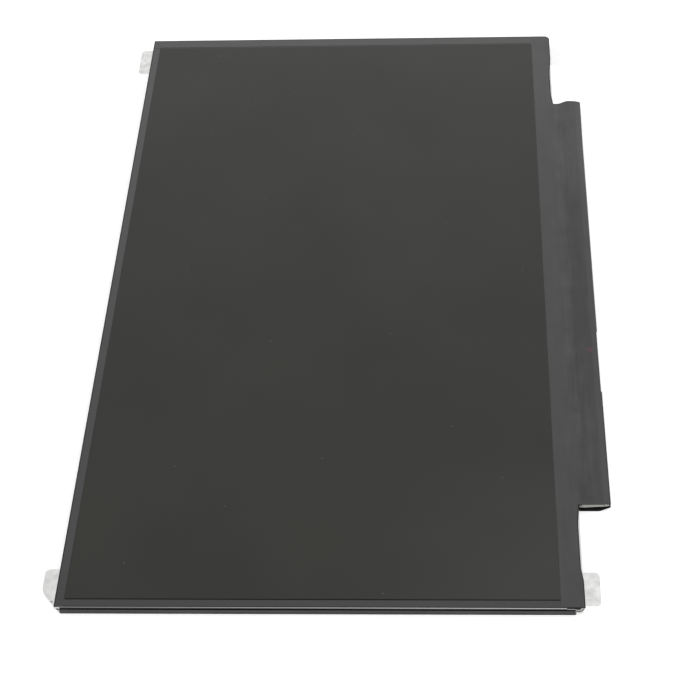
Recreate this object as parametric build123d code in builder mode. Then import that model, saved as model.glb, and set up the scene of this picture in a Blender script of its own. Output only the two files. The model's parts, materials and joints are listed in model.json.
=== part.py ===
from build123d import *

import os

# A slim laptop screen panel that lies on its back: a liquid crystal cell on an edge-lit backlight, with
# four plain ears and a control board in a film sleeve along its lower edge. Lengths are in millimetres.
# X runs along the screen's long side, Y points to the screen's top edge and Z comes out of the screen.
# The origin is on the table, under the middle of the whole outline.

# Outline of the module, and how far the ears and the board stand out of it
module_width = 268.0
module_height = 157.0
corner_radius = 2.0
ear_reach = 5.0
board_reach = 10.1

# Thickness of each layer, from the back to the front
cover_thickness = 0.25
reflector_thickness = 0.15
guide_thickness = 0.80
diffuser_thickness = 0.10
prism_thickness = 0.14
cell_tape_thickness = 0.30
rear_polarizer_thickness = 0.15
array_glass_thickness = 0.45
filter_glass_thickness = 0.45
front_polarizer_thickness = 0.20
border_tape_thickness = 0.06
film_thickness = 0.08

# Clearances: beside a seat, above the backlight sheets, between the two films round the board's edge
fit = 0.10
sheet_headroom = 0.07
film_fit = 0.04

# Mould frame: rails round the light guide, the bay for the light bar and the low rim outside the land
side_rail = 4.2
top_rail = 3.6
lower_wall = 1.2
light_bar_bay = 5.8
rim_width = 1.2
rim_drop = 0.20
cover_lip = 0.8

# Tabs on the short sides of the light guide and its sheets, which sit in pockets of the frame
tab_length = 6.0
tab_depth = 1.4
tab_spread = 90.0

# Rear cover: its lower border is joggled inwards so that the rear film lies flush
film_recess = 0.12
joggle_run = 0.5

# Cell: how far the glass stays inside the outline, and the borders round the front polarizer
left_glass_inset = 0.4
right_glass_inset = 0.15
top_glass_inset = 0.2
array_lower_inset = 0.8
terminal_ledge = 4.6
left_border = 2.8
right_border = 4.65
top_border = 3.0
lower_border = 1.8
rear_polarizer_setback = 1.5
cell_tape_overlap = 1.0
ledge_corner_cut = 0.8

# Border tapes on the front of the glass, and edge tapes on the frame's sides
tape_gap = 0.03
tape_inset = 0.25
polarizer_gap = 0.35
end_tape_foot = 0.05

# Corner brackets: an L of sheet under the frame's corner, a lip round the corner and an ear
bracket_thickness = 0.30
bracket_leg_width = 3.2
bracket_long_leg = 17.0
bracket_short_leg = 12.0
lip_along_top = 2.2
upper_lip_side = 1.5
lower_lip_side = 2.6
ear_round = 1.5
taper_round = 6.0
stake_radius = 0.70
stake_fit = 0.05
stake_inset = 1.9
stake_places = (4.2, 9.6)

# Light bar: a flex strip that laps the light guide, with a row of diodes under it
strip_thickness = 0.08
strip_overlap = 1.0
diode_count = 28
diode_length = 3.0
diode_depth = 1.0
tail_width = 5.0
tail_insertion = 2.0

# Control board and the film sleeve round it
board_left_margin = 38.0
board_right_margin = 41.2
board_end_inset = 0.35
board_setback = 2.0
board_gap = 0.7
board_thickness = 0.80
board_drop = 0.15
board_corner = 0.6
pad_length = 5.0
pad_height = 0.75
pad_places = (1.0, 3.9, 5.9)

# Front film: gap to the polarizer, waisted edges beside the sleeve, sleeve ends, fold at the board's edge
film_gap = 0.12
film_corner = 2.0
film_waist = 0.65
waist_round = 8.0
near_waist_step = (10.0, 14.3)
near_waist_return = 7.2
far_waist_step = (14.0, 23.5)
far_waist_return = 5.0
sleeve_slant = 0.6
sleeve_kick = 2.0
kick_start = 0.6
kick_end = 6.4
sleeve_corner = 0.6
crease_inset = 0.5
crease_round = 2.0
film_over_board = 0.10
edge_round = 4.0
tip_drop = 0.45
film_leg = 0.6
fold_round = 0.4
fold_notch = 0.3

# Rear film: flap on the module's back, flat run, rise to the board's edge
flap_depth = 3.6
flat_run = 6.3
rise_height = 1.5
rear_film_drop = 0.75
rise_round = 1.5
rear_fold_round = 0.3

# Driver chips on the ledge and flex tails from the ledge to the board, one pair for each share of the board
driver_count = 4
driver_length = 22.0
driver_width = 1.2
driver_height = 0.28
driver_gap = 0.6
flex_width = 30.0
flex_bond = 1.4
flex_overhang = 0.2
flex_landing = 2.2
flex_board_inset = 0.4
flex_round = 0.4

# Signal socket under the board, its mouth towards the board's outer edge
socket_place = 59.2
contact_count = 30
contact_pitch = 0.5
contact_width = 0.22
contact_thickness = 0.12
contact_foot = 0.7
socket_cheek = 2.2
socket_depth = 4.0
socket_height = 0.90
socket_setback = 0.3
mouth_depth = 2.6
mouth_height = 0.42
mouth_floor = 0.20
shell_thickness = 0.12
window_length = 27.0
window_depth = 7.8

# Light bar socket under the board, its mouth towards the module
bar_socket_place = 104.0
bar_socket_length = 8.0
bar_socket_depth = 3.4
bar_socket_height = 0.85
bar_socket_setback = 0.5

# Chips and small parts under the board: place along it, length, width and height
component_inset = 1.0
timing_place = 84.0
timing_size = 4.6
timing_height = 0.80
power_place = 132.0
power_size = 4.0
power_height = 0.75
backlight_place = 154.0
backlight_size = 3.0
backlight_height = 0.75
inductor_place = 164.0
inductor_size = 4.0
inductor_height = 0.90
inductor_round = 0.6
capacitor_length = 1.0
capacitor_width = 0.5
capacitor_height = 0.5
capacitor_pitch = 2.2
capacitor_rows = 2
capacitor_row_pitch = 1.6
capacitor_columns = 6
capacitor_places = (20.0, 118.0, 178.0)

# Lines of the outline
overall_height = ear_reach + module_height + board_reach
left_edge = -module_width / 2
right_edge = module_width / 2
top_edge = overall_height / 2 - ear_reach
lower_edge = top_edge - module_height
middle = (top_edge + lower_edge) / 2
board_tip = lower_edge - board_reach

# Levels, from the table up
guide_level = cover_thickness + reflector_thickness
guide_top = guide_level + guide_thickness
lower_prism_level = guide_top + diffuser_thickness
upper_prism_level = lower_prism_level + prism_thickness
upper_diffuser_level = upper_prism_level + prism_thickness
land = upper_diffuser_level + diffuser_thickness + sheet_headroom
rim = land - rim_drop
rear_polarizer_level = land + cell_tape_thickness
array_level = rear_polarizer_level + rear_polarizer_thickness
filter_level = array_level + array_glass_thickness
filter_top = filter_level + filter_glass_thickness
strip_top = guide_top + strip_thickness
board_top = filter_level - board_drop
board_back = board_top - board_thickness

# Lines of the frame's window, of the bay and of the sheets in them
window_left = left_edge + side_rail
window_right = right_edge - side_rail
window_top = top_edge - top_rail
bay_low = lower_edge + lower_wall
guide_low = bay_low + light_bar_bay
shelf = guide_low + strip_overlap
guide_left = window_left + fit
guide_right = window_right - fit
guide_high = window_top - fit
cover_left = left_edge + cover_lip
cover_right = right_edge - cover_lip
cover_top = top_edge - cover_lip
cover_low = bay_low + fit
cover_step = lower_edge + flap_depth + fit
reflector_low = cover_step + joggle_run + fit
sheet_low = shelf + fit

# Lines of the cell
glass_left = left_edge + left_glass_inset
glass_right = right_edge - right_glass_inset
glass_top = top_edge - top_glass_inset
array_low = lower_edge + array_lower_inset
filter_low = array_low + terminal_ledge
screen_left = glass_left + left_border
screen_right = glass_right - right_border
screen_top = glass_top - top_border
screen_low = filter_low + lower_border

# Lines of the edge tapes, which stop short of the brackets' lips
end_tape_low = lower_edge + lower_lip_side + fit
end_tape_high = top_edge - upper_lip_side - fit
side_tape_left = left_edge + lip_along_top + fit
side_tape_right = right_edge - lip_along_top - fit
top_tape_foot = bracket_thickness + fit

# Lines of the board and of the sleeve round it
sleeve_left = left_edge + board_left_margin
sleeve_right = right_edge - board_right_margin
board_left = sleeve_left + board_end_inset
board_right = sleeve_right - board_end_inset
rear_leg = board_tip + film_thickness + film_fit
board_low = rear_leg + film_thickness + board_setback
tip_level = board_top + film_over_board - tip_drop
board_high = lower_edge - board_gap
film_high = screen_low - film_gap
rear_film_level = film_recess - film_thickness
socket_x = board_left + socket_place
bar_socket_x = board_left + bar_socket_place

# Each corner: its name, where it is, which way is inwards, how far its lip runs down the short side,
# and its ear's foot, shoulder and far end, measured along the long side from the corner
corners = (
    ("top_left", left_edge, top_edge, 1, -1, upper_lip_side, (1.65, 7.6, 15.7)),
    ("top_right", right_edge, top_edge, -1, -1, upper_lip_side, (2.7, 2.7, 16.8)),
    ("bottom_left", left_edge, lower_edge, 1, 1, lower_lip_side, (3.0, 3.0, 14.9)),
    ("bottom_right", right_edge, lower_edge, -1, 1, lower_lip_side, (2.3, 2.3, 14.4)),
)

os.makedirs("parts", exist_ok=True)


def save(piece, label):
    piece.part.label = label
    export_step(piece.part, f"parts/{label}.step")


def rectangle_between(x_a, x_b, y_a, y_b, mode=Mode.ADD):
    with Locations(((x_a + x_b) / 2, (y_a + y_b) / 2)):
        Rectangle(abs(x_b - x_a), abs(y_b - y_a), mode=mode)


def bracket_base(corner, margin=0.0):
    _, x, y, in_x, in_y, _, _ = corner
    rectangle_between(x, x + in_x * (bracket_long_leg + margin), y, y + in_y * (bracket_leg_width + margin))
    rectangle_between(x, x + in_x * (bracket_leg_width + margin), y, y + in_y * (bracket_short_leg + margin))


def corner_wall(corner, thickness, margin=0.0):
    _, x, y, in_x, in_y, lip_along_side, _ = corner
    with Locations((0, middle)):
        RectangleRounded(module_width, module_height, corner_radius)
        inner_size = (module_width - 2 * thickness, module_height - 2 * thickness)
        RectangleRounded(*inner_size, corner_radius - thickness, mode=Mode.SUBTRACT)
    along_x = x + in_x * (lip_along_top + margin)
    along_y = y + in_y * (lip_along_side + margin)
    rectangle_between(x, along_x, y, along_y, mode=Mode.INTERSECT)


def beside(corner, along, out):
    _, x, y, in_x, in_y, _, _ = corner
    return (x + in_x * along, y - in_y * out)


def stake_points(corner):
    return [beside(corner, stake_inset, -place) for place in stake_places]


def ear(corner):
    foot, shoulder, far = corner[-1]
    shoulder_round = taper_round if shoulder > foot else ear_round
    rim_points = ((foot, 0), (shoulder, ear_reach), (far, ear_reach), (far, -bracket_leg_width))
    with BuildLine() as ear_edge:
        outline = [beside(corner, along, out) for along, out in rim_points]
        FilletPolyline(*outline, radius=(shoulder_round, ear_round))
        Polyline(outline[-1], beside(corner, foot, -bracket_leg_width), outline[0])
    make_face(ear_edge.edges())


def end_recesses(mode=Mode.ADD):
    rectangle_between(left_edge, left_edge + border_tape_thickness, end_tape_low, end_tape_high, mode)
    rectangle_between(right_edge, right_edge - border_tape_thickness, end_tape_low, end_tape_high, mode)


def sheet_outline(low, margin=0.0):
    rectangle_between(guide_left - margin, guide_right + margin, low - margin, guide_high + margin)
    for tab_middle in (middle - tab_spread / 2, middle + tab_spread / 2):
        tab_reach = tab_depth + margin
        tab_half = tab_length / 2 + margin
        tab_limits = (tab_middle - tab_half, tab_middle + tab_half)
        rectangle_between(guide_left - tab_reach, guide_right + tab_reach, *tab_limits)


def flat_piece(label, x_a, x_b, y_a, y_b, level, thickness):
    with BuildPart() as piece:
        with BuildSketch(Plane.XY.offset(level)):
            rectangle_between(x_a, x_b, y_a, y_b)
        extrude(amount=thickness)
    save(piece, label)


# Rear cover: one sheet with a joggled lower border, notched round the four brackets
with BuildPart() as rear_cover:
    with BuildSketch(Plane.YZ.offset(cover_left)):
        with BuildLine():
            back = Polyline(
                (cover_low, film_recess),
                (cover_step, film_recess),
                (cover_step + joggle_run, 0),
                (cover_top, 0),
            )
            front = Polyline(
                (cover_low, film_recess + cover_thickness),
                (cover_step, film_recess + cover_thickness),
                (cover_step + joggle_run, cover_thickness),
                (cover_top, cover_thickness),
            )
            Line(back @ 0, front @ 0)
            Line(back @ 1, front @ 1)
        make_face()
    extrude(amount=cover_right - cover_left)
    with BuildSketch():
        for corner in corners:
            bracket_base(corner, fit)
    extrude(amount=film_recess + cover_thickness, mode=Mode.SUBTRACT)
save(rear_cover, "rear_cover")

# Mould frame: a ring with a low rim and a land for the cell, open below for the cover and the light bar
with BuildPart() as mould_frame:
    with BuildSketch():
        with Locations((0, middle)):
            RectangleRounded(module_width, module_height, corner_radius)
    extrude(amount=rim)
    with BuildSketch(Plane.XY.offset(rim)):
        with Locations((0, middle)):
            Rectangle(module_width - 2 * rim_width, module_height - 2 * rim_width)
    extrude(amount=rim_drop)
    with BuildSketch():
        sheet_outline(sheet_low, fit)
    extrude(amount=land, mode=Mode.SUBTRACT)
    with BuildSketch():
        rectangle_between(cover_left - fit, cover_right + fit, bay_low, cover_top + fit)
    extrude(amount=cover_thickness, mode=Mode.SUBTRACT)
    with BuildSketch():
        rectangle_between(window_left, window_right, bay_low, shelf)
    extrude(amount=strip_top, mode=Mode.SUBTRACT)
    with BuildSketch():
        rectangle_between(cover_left - fit, cover_right + fit, bay_low, cover_step + joggle_run)
    extrude(amount=film_recess + cover_thickness, mode=Mode.SUBTRACT)
    with BuildSketch():
        rectangle_between(sleeve_left - fit, sleeve_right + fit, lower_edge, bay_low)
    extrude(amount=film_recess, mode=Mode.SUBTRACT)
    with BuildSketch(Plane.XY.offset(guide_top - fit)):
        tail_slot = tail_width / 2 + fit
        rectangle_between(bar_socket_x - tail_slot, bar_socket_x + tail_slot, lower_edge, bay_low)
    extrude(amount=strip_thickness + 2 * fit, mode=Mode.SUBTRACT)
    with BuildSketch():
        for corner in corners:
            bracket_base(corner, fit)
    extrude(amount=bracket_thickness, mode=Mode.SUBTRACT)
    for corner in corners:
        with BuildSketch():
            corner_wall(corner, bracket_thickness + fit, fit)
        extrude(amount=rim, mode=Mode.SUBTRACT)
    with BuildSketch(Plane.XY.offset(stake_fit)):
        for corner in corners:
            with Locations(*stake_points(corner)):
                Circle(stake_radius)
    extrude(amount=bracket_thickness)
    with BuildSketch():
        end_recesses()
    extrude(amount=rim, mode=Mode.SUBTRACT)
    with BuildSketch(Plane.XY.offset(top_tape_foot)):
        rectangle_between(side_tape_left, side_tape_right, top_edge - border_tape_thickness, top_edge)
    extrude(amount=rim - top_tape_foot, mode=Mode.SUBTRACT)
save(mould_frame, "mould_frame")

# Corner brackets: L-shaped base under the frame, upturned lip round the corner, flat ear
for corner in corners:
    with BuildPart() as bracket:
        with BuildSketch():
            bracket_base(corner)
            with Locations((0, middle)):
                RectangleRounded(module_width, module_height, corner_radius, mode=Mode.INTERSECT)
            ear(corner)
            end_recesses(mode=Mode.SUBTRACT)
            with Locations(*stake_points(corner)):
                Circle(stake_radius + stake_fit, mode=Mode.SUBTRACT)
        extrude(amount=bracket_thickness)
        with BuildSketch():
            corner_wall(corner, bracket_thickness)
        extrude(amount=rim)
    save(bracket, f"bracket_{corner[0]}")

# Backlight sheets: reflector, light guide, and diffusers and prism sheets, with tabs in the frame's pockets
backlight_sheets = (
    ("reflector_sheet", reflector_low, cover_thickness, reflector_thickness),
    ("light_guide", guide_low, guide_level, guide_thickness),
    ("lower_diffuser", sheet_low, guide_top, diffuser_thickness),
    ("lower_prism_sheet", sheet_low, lower_prism_level, prism_thickness),
    ("upper_prism_sheet", sheet_low, upper_prism_level, prism_thickness),
    ("upper_diffuser", sheet_low, upper_diffuser_level, diffuser_thickness),
)
for label, low, level, thickness in backlight_sheets:
    with BuildPart() as backlight_sheet:
        with BuildSketch(Plane.XY.offset(level)):
            sheet_outline(low)
        extrude(amount=thickness)
    save(backlight_sheet, label)

# Light bar strip: a flex board in the bay, with a tail through the frame's lower wall into its socket
bar_socket_high = board_high - bar_socket_setback
with BuildPart() as light_bar_strip:
    with BuildSketch(Plane.XY.offset(guide_top)):
        rectangle_between(guide_left, guide_right, bay_low + fit, shelf - fit)
        tail_sides = (bar_socket_x - tail_width / 2, bar_socket_x + tail_width / 2)
        rectangle_between(*tail_sides, bar_socket_high - tail_insertion, shelf - fit)
    extrude(amount=strip_thickness)
save(light_bar_strip, "light_bar_strip")

# Row of side-emitting diodes between the strip and the reflector, facing the light guide
with BuildPart() as diodes:
    diode_pitch = (guide_right - guide_left) / diode_count
    with BuildSketch(Plane.XY.offset(guide_level)):
        with Locations(((guide_left + guide_right) / 2, guide_low - fit - diode_depth / 2)):
            with GridLocations(diode_pitch, diode_depth, diode_count, 1):
                Rectangle(diode_length, diode_depth)
    extrude(amount=guide_thickness)
save(diodes, "light_bar_diodes")

# Cell tape: a ring of black tape on the frame's land that carries the cell
with BuildPart() as cell_tape:
    with BuildSketch(Plane.XY.offset(land)):
        with Locations((0, middle)):
            Rectangle(module_width - 2 * (rim_width + fit), module_height - 2 * (rim_width + fit))
        inset = cell_tape_overlap
        inner = (window_left + inset, window_right - inset, shelf + inset, window_top - inset)
        rectangle_between(*inner, mode=Mode.SUBTRACT)
    extrude(amount=cell_tape_thickness)
save(cell_tape, "cell_tape")

# Cell: rear polarizer, array glass with cut corners on its terminal ledge, filter glass, front polarizer
setback = rear_polarizer_setback
flat_piece(
    "rear_polarizer",
    glass_left + setback,
    glass_right - setback,
    filter_low,
    glass_top - setback,
    rear_polarizer_level,
    rear_polarizer_thickness,
)
with BuildPart() as array_glass:
    with BuildSketch(Plane.XY.offset(array_level)) as array_outline:
        rectangle_between(glass_left, glass_right, array_low, glass_top)
        chamfer(array_outline.vertices().group_by(Axis.Y)[0], length=ledge_corner_cut)
    extrude(amount=array_glass_thickness)
save(array_glass, "array_glass")
flat_piece(
    "filter_glass", glass_left, glass_right, filter_low, glass_top, filter_level, filter_glass_thickness
)
flat_piece(
    "front_polarizer",
    screen_left,
    screen_right,
    screen_low,
    screen_top,
    filter_top,
    front_polarizer_thickness,
)

# Border tapes: the top one folds down over the glass edge to the frame's rim, the end ones lie flat
top_tape_low = screen_top + polarizer_gap
with BuildPart() as top_tape:
    with BuildSketch(Plane.YZ.offset(glass_left)):
        tape_out = border_tape_thickness
        rectangle_between(top_tape_low, glass_top + tape_out, filter_top, filter_top + tape_out)
        rectangle_between(glass_top, glass_top + tape_out, rim, filter_top + tape_out)
    extrude(amount=glass_right - glass_left)
save(top_tape, "border_tape_top")
border_end = (film_high + tape_gap, top_tape_low, filter_top, border_tape_thickness)
flat_piece("border_tape_left", glass_left + tape_inset, screen_left - polarizer_gap, *border_end)
flat_piece("border_tape_right", screen_right + polarizer_gap, glass_right, *border_end)

# Edge tapes: strips in shallow recesses on the frame's sides, folded over its rim at the two ends
ends = (("edge_tape_left", left_edge, 1), ("edge_tape_right", right_edge, -1))
for label, edge, inwards in ends:
    with BuildPart() as end_tape:
        with BuildSketch(Plane.XZ.offset(fit - end_tape_high)):
            tape_level = rim + border_tape_thickness
            rectangle_between(edge, edge + inwards * border_tape_thickness, end_tape_foot, tape_level)
            rectangle_between(edge, edge + inwards * (rim_width - fit), rim, tape_level)
        extrude(amount=end_tape_high - end_tape_low - 2 * fit)
    save(end_tape, label)
flat_piece(
    "edge_tape_top",
    side_tape_left + fit,
    side_tape_right - fit,
    top_edge - border_tape_thickness,
    top_edge,
    top_tape_foot,
    rim - top_tape_foot,
)

# Driver chips on the ledge, and flex tails that step down from the ledge to the board
driver_pitch = (board_right - board_left) / driver_count
driver_high = filter_low - driver_gap
flex_path = (
    (array_low + flex_bond, filter_level),
    (array_low - flex_overhang, filter_level),
    (board_high - flex_board_inset, board_top),
    (board_high - flex_board_inset - flex_landing, board_top),
)
for number in range(driver_count):
    x = board_left + driver_pitch * (number + 0.5)
    chip = (x - driver_length / 2, x + driver_length / 2, driver_high - driver_width, driver_high)
    flat_piece(f"driver_chip_{number + 1}", *chip, filter_level, driver_height)
    with BuildPart() as flex_tail:
        with BuildSketch(Plane.YZ.offset(x - flex_width / 2)):
            with BuildLine():
                FilletPolyline(*flex_path, radius=flex_round)
                offset(amount=film_thickness, side=Side.RIGHT)
            make_face()
        extrude(amount=flex_width)
    save(flex_tail, f"flex_tail_{number + 1}")

# Control board, level with its flex tails
with BuildPart() as control_board:
    with BuildSketch(Plane.XY.offset(board_back)) as board_outline:
        rectangle_between(board_left, board_right, board_low, board_high)
        fillet(board_outline.vertices(), radius=board_corner)
    extrude(amount=board_thickness)
save(control_board, "control_board")

# End pad: a foam wedge under the board's near end, which fills the sleeve's open end
with BuildPart() as end_pad:
    with BuildSketch(Plane.YZ.offset(board_left)):
        with BuildLine():
            pad_inner, pad_ridge, pad_outer = [board_high - place for place in pad_places]
            pad_back = board_back - pad_height
            upper = ((pad_outer, board_back), (pad_inner, board_back))
            lower = ((pad_inner, pad_back), (pad_ridge, pad_back))
            Polyline(*upper, *lower, close=True)
        make_face()
    extrude(amount=pad_length)
save(end_pad, "board_end_pad")

# Chips on the back of the board, in a row near its inner edge
component_high = board_high - component_inset
chips = (
    ("timing_chip", timing_place, timing_size, timing_height),
    ("power_chip", power_place, power_size, power_height),
    ("backlight_chip", backlight_place, backlight_size, backlight_height),
)
for label, place, size, height in chips:
    x = board_left + place
    chip = (x - size / 2, x + size / 2, component_high - size, component_high)
    flat_piece(label, *chip, board_back - height, height)

# Boost inductor: a square ferrite body with rounded corners
with BuildPart() as boost_inductor:
    with BuildSketch(Plane.XY.offset(board_back - inductor_height)) as inductor_outline:
        x = board_left + inductor_place
        inductor_low = component_high - inductor_size
        rectangle_between(x - inductor_size / 2, x + inductor_size / 2, inductor_low, component_high)
        fillet(inductor_outline.vertices(), radius=inductor_round)
    extrude(amount=inductor_height)
save(boost_inductor, "boost_inductor")

# Chip capacitors in blocks along the board
with BuildPart() as capacitors:
    block_depth = (capacitor_rows - 1) * capacitor_row_pitch + capacitor_width
    block_middle = component_high - block_depth / 2
    with BuildSketch(Plane.XY.offset(board_back - capacitor_height)):
        with Locations(*[(board_left + place, block_middle) for place in capacitor_places]):
            with GridLocations(capacitor_pitch, capacitor_row_pitch, capacitor_columns, capacitor_rows):
                Rectangle(capacitor_length, capacitor_width)
    extrude(amount=capacitor_height)
save(capacitors, "chip_capacitors")

# Light bar socket: a flat body with a slot that takes the strip's tail
with BuildPart() as bar_socket:
    bar_socket_limits = (bar_socket_x - bar_socket_length / 2, bar_socket_x + bar_socket_length / 2)
    with BuildSketch(Plane.XY.offset(board_back - bar_socket_height)):
        rectangle_between(*bar_socket_limits, bar_socket_high - bar_socket_depth, bar_socket_high)
    extrude(amount=bar_socket_height)
    with BuildSketch(Plane.XY.offset(guide_top - fit)):
        slot_low = bar_socket_high - tail_insertion - fit
        rectangle_between(bar_socket_x - tail_slot, bar_socket_x + tail_slot, slot_low, bar_socket_high)
    extrude(amount=strip_thickness + 2 * fit, mode=Mode.SUBTRACT)
save(bar_socket, "light_bar_socket")

# Signal socket housing: a flat body with a wide mouth and a slot in its back wall for each contact
socket_low = board_low + socket_setback
socket_high = socket_low + socket_depth
socket_length = contact_count * contact_pitch + 2 * socket_cheek
mouth_top = board_back - mouth_floor
contact_level = mouth_top - contact_thickness
with BuildPart() as socket_housing:
    with BuildSketch(Plane.XY.offset(board_back - socket_height)):
        socket_half = socket_length / 2
        rectangle_between(socket_x - socket_half, socket_x + socket_half, socket_low, socket_high)
    extrude(amount=socket_height)
    with BuildSketch(Plane.XY.offset(mouth_top - mouth_height)):
        mouth_half = contact_count * contact_pitch / 2 + fit
        rectangle_between(socket_x - mouth_half, socket_x + mouth_half, socket_low, socket_low + mouth_depth)
    extrude(amount=mouth_height, mode=Mode.SUBTRACT)
    with BuildSketch(Plane.XZ.offset(-socket_high)):
        with Locations((socket_x, mouth_top - contact_thickness / 2)):
            with GridLocations(contact_pitch, contact_thickness, contact_count, 1):
                Rectangle(contact_width, contact_thickness)
    extrude(amount=socket_depth - mouth_depth, mode=Mode.SUBTRACT)
save(socket_housing, "signal_socket_housing")

# Signal socket contacts: each a cranked strip, with a foot on the board and an arm in the mouth
with BuildPart() as socket_contacts:
    with BuildSketch(Plane.YZ.offset(socket_x)) as contact_side:
        crank = socket_high + contact_thickness
        arm_end = socket_low + contact_foot
        rectangle_between(arm_end, crank, contact_level, mouth_top)
        rectangle_between(socket_high, crank, contact_level, board_back)
        rectangle_between(socket_high, crank + contact_foot, board_back - contact_thickness, board_back)
    with GridLocations(contact_pitch, contact_pitch, contact_count, 1):
        add(extrude(contact_side.sketch, amount=contact_width / 2, both=True, mode=Mode.PRIVATE))
save(socket_contacts, "signal_socket_contacts")

# Signal socket shell: a channel of thin sheet over the housing's back and ends
with BuildPart() as socket_shell:
    shell_back = board_back - socket_height
    with BuildSketch(Plane.XZ.offset(-socket_high)):
        with BuildLine():
            Polyline(
                (socket_x - socket_half, board_back),
                (socket_x - socket_half, shell_back),
                (socket_x + socket_half, shell_back),
                (socket_x + socket_half, board_back),
            )
            offset(amount=shell_thickness, side=Side.RIGHT, kind=Kind.INTERSECTION)
        make_face()
    extrude(amount=socket_depth)
save(socket_shell, "signal_socket_shell")

# Front film: flat on the glass, creased at the module's edge, bent at the board's edge and folded down
with BuildPart() as front_film:
    front_path = (
        (film_high, filter_top),
        (lower_edge + crease_inset, filter_top),
        (board_low, board_top + film_over_board),
        (board_tip + film_thickness, tip_level),
        (board_tip + film_thickness, tip_level - film_leg),
    )
    with BuildSketch(Plane.YZ.offset(glass_left)):
        with BuildLine():
            FilletPolyline(*front_path, radius=(crease_round, edge_round, fold_round))
            offset(amount=film_thickness, side=Side.RIGHT)
        make_face()
    extrude(amount=glass_right - glass_left)
    with BuildSketch() as film_plan:
        with BuildLine():
            waist_level = lower_edge + film_waist
            near_root = (sleeve_left, lower_edge)
            far_root = (sleeve_right, lower_edge)
            kick_foot = (sleeve_right, lower_edge - kick_start)
            kick_tip = (sleeve_right + sleeve_kick, lower_edge - kick_end)
            FilletPolyline(
                (glass_left, lower_edge),
                (left_edge + near_waist_step[0], lower_edge),
                (left_edge + near_waist_step[1], waist_level),
                (sleeve_left - near_waist_return, waist_level),
                near_root,
                radius=waist_round,
            )
            Polyline(near_root, (sleeve_left + sleeve_slant, board_tip), (kick_tip[0], board_tip), kick_tip)
            Spline(kick_tip, kick_foot, tangents=((0, 1), (0, 1)))
            Line(kick_foot, far_root)
            FilletPolyline(
                far_root,
                (sleeve_right + far_waist_return, waist_level),
                (right_edge - far_waist_step[1], waist_level),
                (right_edge - far_waist_step[0], lower_edge),
                (glass_right, lower_edge),
                radius=waist_round,
            )
            upper_corners = ((glass_right, film_high), (glass_left, film_high))
            Polyline((glass_right, lower_edge), *upper_corners, (glass_left, lower_edge))
        make_face()
        far_corner = film_plan.vertices().sort_by_distance((glass_right, lower_edge))[0]
        fillet(far_corner, radius=film_corner)
        fillet(film_plan.vertices().group_by(Axis.Y)[0], radius=sleeve_corner)
        window_sides = (socket_x - window_length / 2, socket_x + window_length / 2)
        rectangle_between(*window_sides, board_tip, board_tip + fold_notch, mode=Mode.SUBTRACT)
    extrude(amount=filter_top + film_thickness, mode=Mode.INTERSECT)
save(front_film, "front_film")

# Rear film: flap under the module's lower border, flat run under the board, rise to its outer edge
with BuildPart() as rear_film:
    rear_path = (
        (lower_edge + flap_depth, rear_film_level),
        (lower_edge - flat_run, rear_film_level),
        (rear_leg, rise_height),
        (rear_leg, board_top - rear_film_drop),
    )
    with BuildSketch(Plane.YZ.offset(sleeve_left)):
        with BuildLine():
            FilletPolyline(*rear_path, radius=(rise_round, rear_fold_round))
            offset(amount=film_thickness, side=Side.RIGHT)
        make_face()
    extrude(amount=sleeve_right - sleeve_left)
    with BuildSketch():
        rectangle_between(*window_sides, board_tip, board_tip + window_depth)
    extrude(amount=board_top, mode=Mode.SUBTRACT)
save(rear_film, "rear_film")
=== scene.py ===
# %% [markdown]
# # A laptop's screen panel, taken out of its lid
#
# The panel lies on its back on a white table. Its front is a dark anti-glare film with narrow black
# borders. Along one long side a black plastic film wraps a control board, and bright steel ears stand out
# at the corners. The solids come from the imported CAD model, in metres, and this lesson dresses them for a
# render.

# %% Load the frame
import json
import math

import bmesh
import bpy
from mathutils import Euler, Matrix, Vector, noise


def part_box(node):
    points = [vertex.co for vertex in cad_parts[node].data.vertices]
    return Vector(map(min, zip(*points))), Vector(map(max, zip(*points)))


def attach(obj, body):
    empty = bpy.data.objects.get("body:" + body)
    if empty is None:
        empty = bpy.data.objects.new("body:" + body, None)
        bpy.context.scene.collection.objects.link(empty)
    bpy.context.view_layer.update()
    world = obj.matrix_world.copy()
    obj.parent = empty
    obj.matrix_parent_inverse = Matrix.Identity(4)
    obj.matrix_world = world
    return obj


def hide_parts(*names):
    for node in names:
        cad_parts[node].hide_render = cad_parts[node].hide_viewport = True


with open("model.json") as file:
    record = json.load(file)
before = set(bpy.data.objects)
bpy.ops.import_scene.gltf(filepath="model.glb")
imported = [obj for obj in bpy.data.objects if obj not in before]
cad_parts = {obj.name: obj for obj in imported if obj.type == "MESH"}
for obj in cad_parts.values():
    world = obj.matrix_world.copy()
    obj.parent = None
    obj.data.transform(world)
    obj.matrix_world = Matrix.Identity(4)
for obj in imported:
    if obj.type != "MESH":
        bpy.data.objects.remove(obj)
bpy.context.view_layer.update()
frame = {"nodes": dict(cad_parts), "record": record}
nodes = frame["nodes"]
MM = 0.001

# %% [markdown]
# ## Helpers for materials
#
# Colours are easiest to pick as sRGB hex values, but Blender's shaders want linear light. One function
# converts them. A second one adds a node to a tree with its settings and links, so a material reads from
# top to bottom. Two more start an empty material and turn a size in millimetres into a pattern's scale.


# %% Colour and node helpers
def linear(hex_colour):
    """sRGB hex, such as "#4a4947", to the linear RGBA that shader sockets take."""
    channels = [int(hex_colour[i:i + 2], 16) / 255 for i in (1, 3, 5)]
    return [c / 12.92 if c <= 0.04045 else ((c + 0.055) / 1.055) ** 2.4 for c in channels] + [1.0]


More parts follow.
